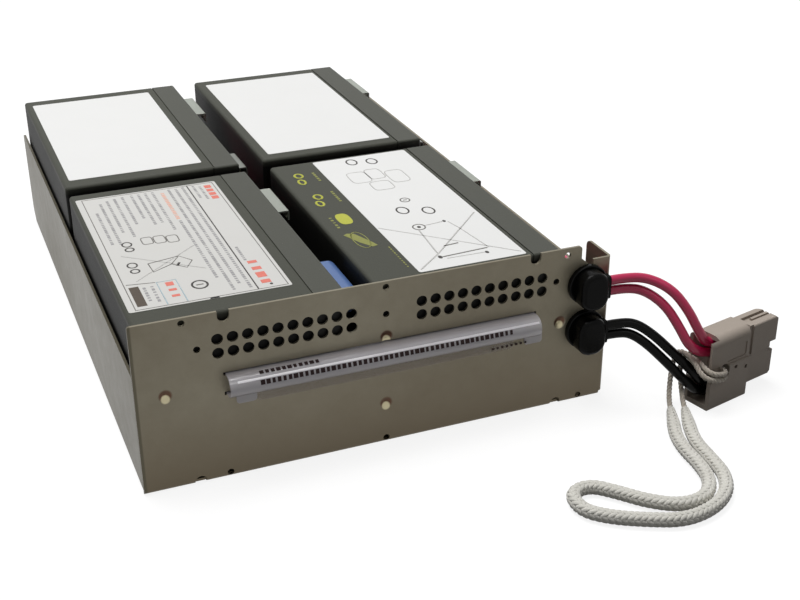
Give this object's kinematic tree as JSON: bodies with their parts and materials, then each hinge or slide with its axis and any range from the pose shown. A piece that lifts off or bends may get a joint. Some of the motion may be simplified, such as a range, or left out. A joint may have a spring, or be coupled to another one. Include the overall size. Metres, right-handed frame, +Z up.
{
  "type": "ups battery cartridge",
  "caption": "Slide-in UPS battery tray: folded sheet tray of sealed batteries, leads through strain reliefs to a flat plug with a braided cord pull, and a clear pull strip in front.",
  "frame": {"origin": "centre of the tray's underside, on the surface it rests on", "axes": "+X right along the front panel, +Y from the front panel to the back, +Z up"},
  "size_m": [0.3037, 0.4332, 0.0806],
  "materials": {
    "sheet_steel": "plated, satin, slightly brown",
    "case_plastic": "fine grain",
    "lid_plastic": "fine grain",
    "label": "printed film",
    "blue_boot": "soft",
    "tinned_blade": "tinned",
    "tinned_clip": "tinned",
    "guard_film": "translucent",
    "sleeve": "soft, cloudy",
    "black_wire": "glossy",
    "red_wire": "glossy",
    "bushing": "satin",
    "connector": "satin",
    "contact": "plated",
    "tie_cord": "waxed",
    "rope": "braided",
    "clear_strip": "clear"
  },
  "bodies": {
    "root": {"battery_case_back_left": "case_plastic", "battery_case_back_right": "case_plastic", "battery_case_front_left": "case_plastic", "battery_case_front_right": "case_plastic", "battery_label_back_left": "label", "battery_label_back_right": "label", "battery_label_front_left": "label", "battery_label_front_right": "label", "battery_lid_back_left": "lid_plastic", "battery_lid_back_right": "lid_plastic", "battery_lid_front_left": "lid_plastic", "battery_lid_front_right": "lid_plastic", "black_cable_lower": "black_wire", "black_cable_upper": "black_wire", "bushing_lower": "bushing", "bushing_upper": "bushing", "clip_back_left_far": "tinned_clip", "clip_back_left_near": "tinned_clip", "clip_back_right_far": "tinned_clip", "clip_back_right_near": "tinned_clip", "clip_front_left_far": "tinned_clip", "clip_front_left_near": "tinned_clip", "clip_front_right_far": "tinned_clip", "clip_front_right_near": "tinned_clip", "connector_contact_lower": "contact", "connector_contact_upper": "contact", "connector_housing": "connector", "guard_back_left": "guard_film", "guard_back_right": "guard_film", "guard_front_left": "guard_film", "guard_front_right": "guard_film", "jumper_left": "black_wire", "jumper_right": "black_wire", "lead_black_left": "black_wire", "lead_black_right": "black_wire", "lead_red_left": "red_wire", "lead_red_right": "red_wire", "pull_rope": "rope", "pull_strip": "clear_strip", "red_cable_lower": "red_wire", "red_cable_upper": "red_wire", "sleeve_back_left": "sleeve", "sleeve_back_right": "sleeve", "sleeve_front_right": "sleeve", "terminal_back_left_far": "tinned_blade", "terminal_back_left_near": "tinned_blade", "terminal_back_right_far": "tinned_blade", "terminal_back_right_near": "tinned_blade", "terminal_boot": "blue_boot", "terminal_front_left_far": "tinned_blade", "terminal_front_left_near": "tinned_blade", "terminal_front_right_far": "tinned_blade", "terminal_front_right_near": "tinned_blade", "tie_cord_a": "tie_cord", "tie_cord_b": "tie_cord", "tie_knot": "tie_cord", "tray": "sheet_steel"}
  },
  "joints": []
}
